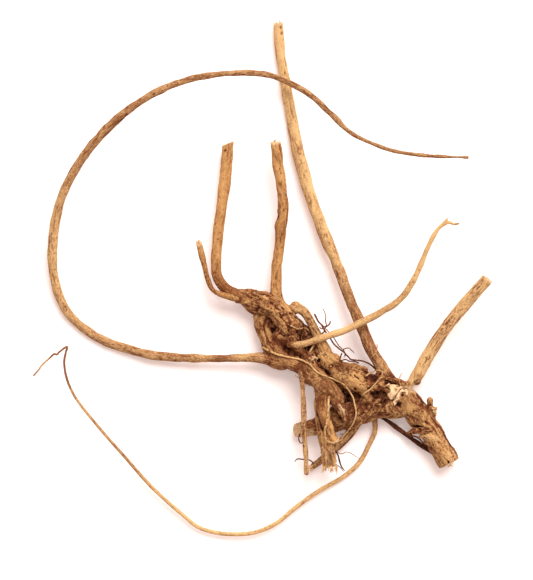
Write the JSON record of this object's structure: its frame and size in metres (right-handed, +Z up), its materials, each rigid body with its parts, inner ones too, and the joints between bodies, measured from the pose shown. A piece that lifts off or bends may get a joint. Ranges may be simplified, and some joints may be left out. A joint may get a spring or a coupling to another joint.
{
  "type": "devils shoestring root",
  "caption": "Dried woody root crown with a sawn stump and knotted limbs, from which long string-like roots grow; it lies on a surface.",
  "frame": {"origin": "on the flat spot under the neck of the crown, which the root rests on", "axes": "+Z up from the surface it lies on; +Y along its longest side, from the crown to the tip of the long straight root"},
  "size_m": [0.1828, 0.2057, 0.0231],
  "materials": {
    "root_bark": "dry tan bark with fine lengthwise wrinkles, dark pits and pale torn wood at the ends"
  },
  "bodies": {
    "root": {"root_crown": "root_bark"}
  },
  "joints": []
}
